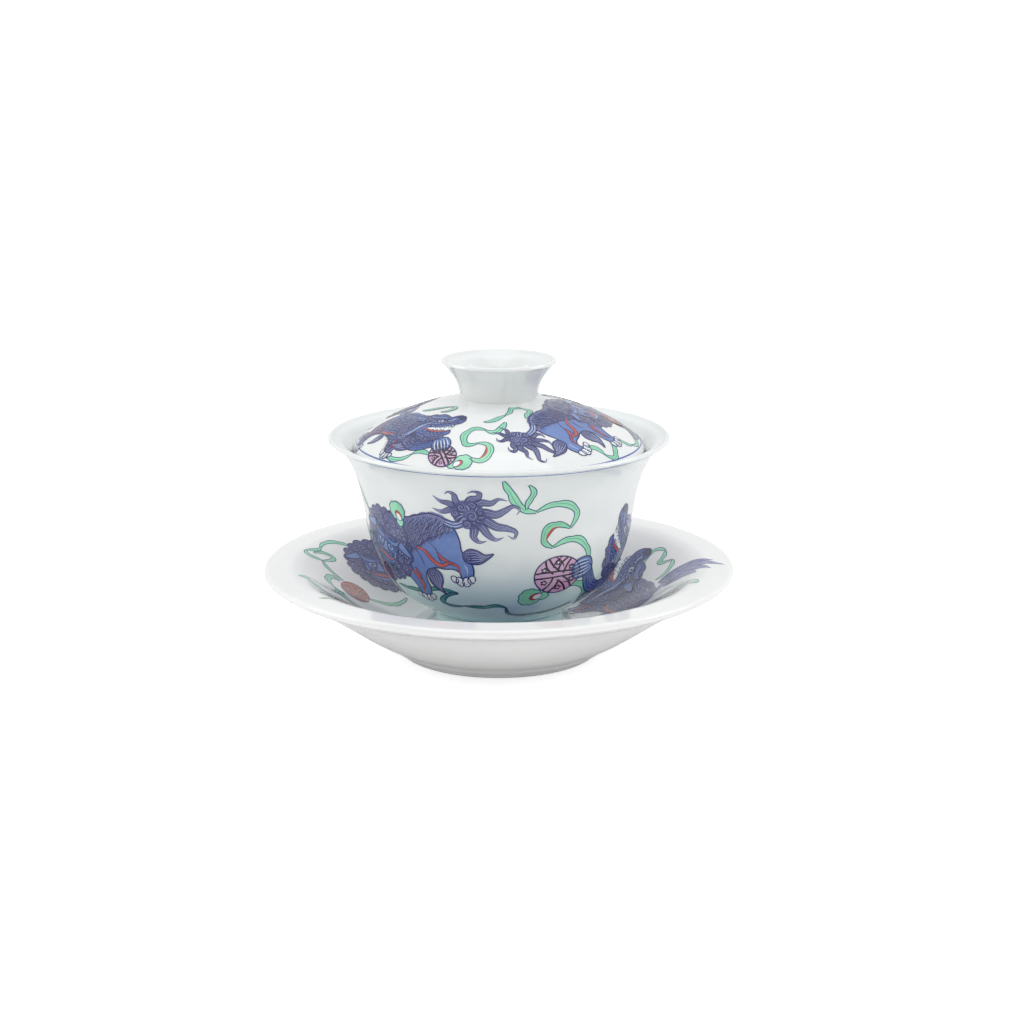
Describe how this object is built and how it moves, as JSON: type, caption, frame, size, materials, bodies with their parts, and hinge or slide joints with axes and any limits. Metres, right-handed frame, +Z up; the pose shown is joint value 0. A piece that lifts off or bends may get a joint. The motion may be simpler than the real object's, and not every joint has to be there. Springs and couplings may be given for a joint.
{
  "type": "gaiwan",
  "caption": "Lidded porcelain tea bowl with a flared rim and ring knob, standing in the well of its own footed saucer.",
  "frame": {"origin": "centre of the saucer's foot ring, on the table plane", "axes": "+Z up along the common axis of saucer, bowl and lid"},
  "size_m": [0.1474, 0.1474, 0.0932],
  "materials": {
    "saucer_porcelain": "gloss white glaze",
    "bowl_porcelain": "gloss white glaze",
    "lid_porcelain": "gloss white glaze",
    "cobalt_paint": "gloss cobalt blue under glaze",
    "green_enamel": "gloss green enamel",
    "red_enamel": "satin iron red enamel",
    "pink_enamel": "gloss pink enamel",
    "black_enamel": "gloss black enamel",
    "bare_porcelain": "unglazed ground foot edge"
  },
  "bodies": {
    "saucer": {"saucer": "saucer_porcelain"},
    "bowl": {"bowl": "bowl_porcelain"},
    "lid": {"lid": "lid_porcelain"}
  },
  "joints": [
    {"name": "bowl_lift", "type": "slide", "parent": "saucer", "child": "bowl", "axis": [0, 0, 1], "range_m": [0, 0.04]},
    {"name": "lid_lift", "type": "slide", "parent": "bowl", "child": "lid", "axis": [0, 0, 1], "range_m": [0, 0.05]}
  ]
}
